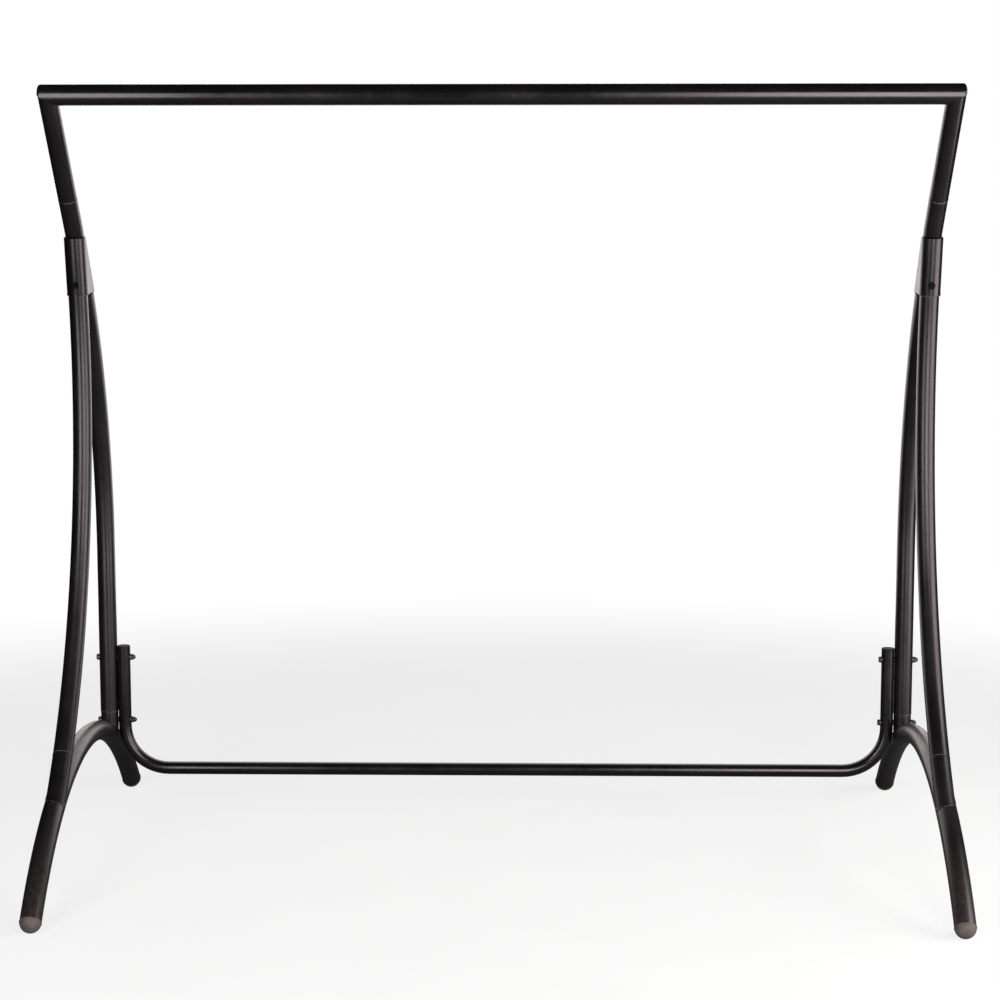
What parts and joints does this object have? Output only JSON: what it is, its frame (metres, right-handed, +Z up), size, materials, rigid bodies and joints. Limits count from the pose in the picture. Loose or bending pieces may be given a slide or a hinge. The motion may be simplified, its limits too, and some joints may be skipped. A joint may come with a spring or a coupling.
{
  "type": "hammock stand",
  "caption": "Free-standing tubular steel stand for a hanging hammock seat: curved foot arches, bowed legs, forward-leaning arms, a straight top beam and a U-shaped low crossbar.",
  "frame": {"origin": "on the ground, midway between the four feet", "axes": "+Z up, +X along the top beam to the right of someone facing the stand, +Y to the rear, away from the beam's side"},
  "size_m": [2.0802, 1.3008, 1.8175],
  "materials": {
    "powder_coated_steel": "satin",
    "foot_rubber": "matte",
    "black_plastic": "matte",
    "dark_zinc": "satin"
  },
  "bodies": {
    "root": {"top_beam": "powder_coated_steel", "beam_end_cap_left": "powder_coated_steel", "upper_arm_left": "powder_coated_steel", "lower_arm_left": "powder_coated_steel", "front_sleeve_left": "powder_coated_steel", "rear_sleeve_left": "powder_coated_steel", "web_plate_inner_left": "powder_coated_steel", "web_plate_outer_left": "powder_coated_steel", "front_leg_left": "powder_coated_steel", "rear_leg_left": "powder_coated_steel", "foot_arch_left": "powder_coated_steel", "front_stub_left": "powder_coated_steel", "rear_stub_left": "powder_coated_steel", "foot_cap_front_left": "foot_rubber", "foot_cap_rear_left": "foot_rubber", "crossbar_end_plug_left": "black_plastic", "beam_end_cap_right": "powder_coated_steel", "upper_arm_right": "powder_coated_steel", "lower_arm_right": "powder_coated_steel", "front_sleeve_right": "powder_coated_steel", "rear_sleeve_right": "powder_coated_steel", "web_plate_inner_right": "powder_coated_steel", "web_plate_outer_right": "powder_coated_steel", "front_leg_right": "powder_coated_steel", "rear_leg_right": "powder_coated_steel", "foot_arch_right": "powder_coated_steel", "front_stub_right": "powder_coated_steel", "rear_stub_right": "powder_coated_steel", "foot_cap_front_right": "foot_rubber", "foot_cap_rear_right": "foot_rubber", "crossbar_end_plug_right": "black_plastic", "crossbar": "powder_coated_steel", "crossbar_spacers": "black_plastic", "crossbar_bolts": "dark_zinc", "crossbar_cap_nuts": "dark_zinc", "crossbar_washers": "dark_zinc", "connector_bolts": "dark_zinc", "connector_cap_nuts": "dark_zinc", "connector_saddle_washers": "dark_zinc"}
  },
  "joints": []
}
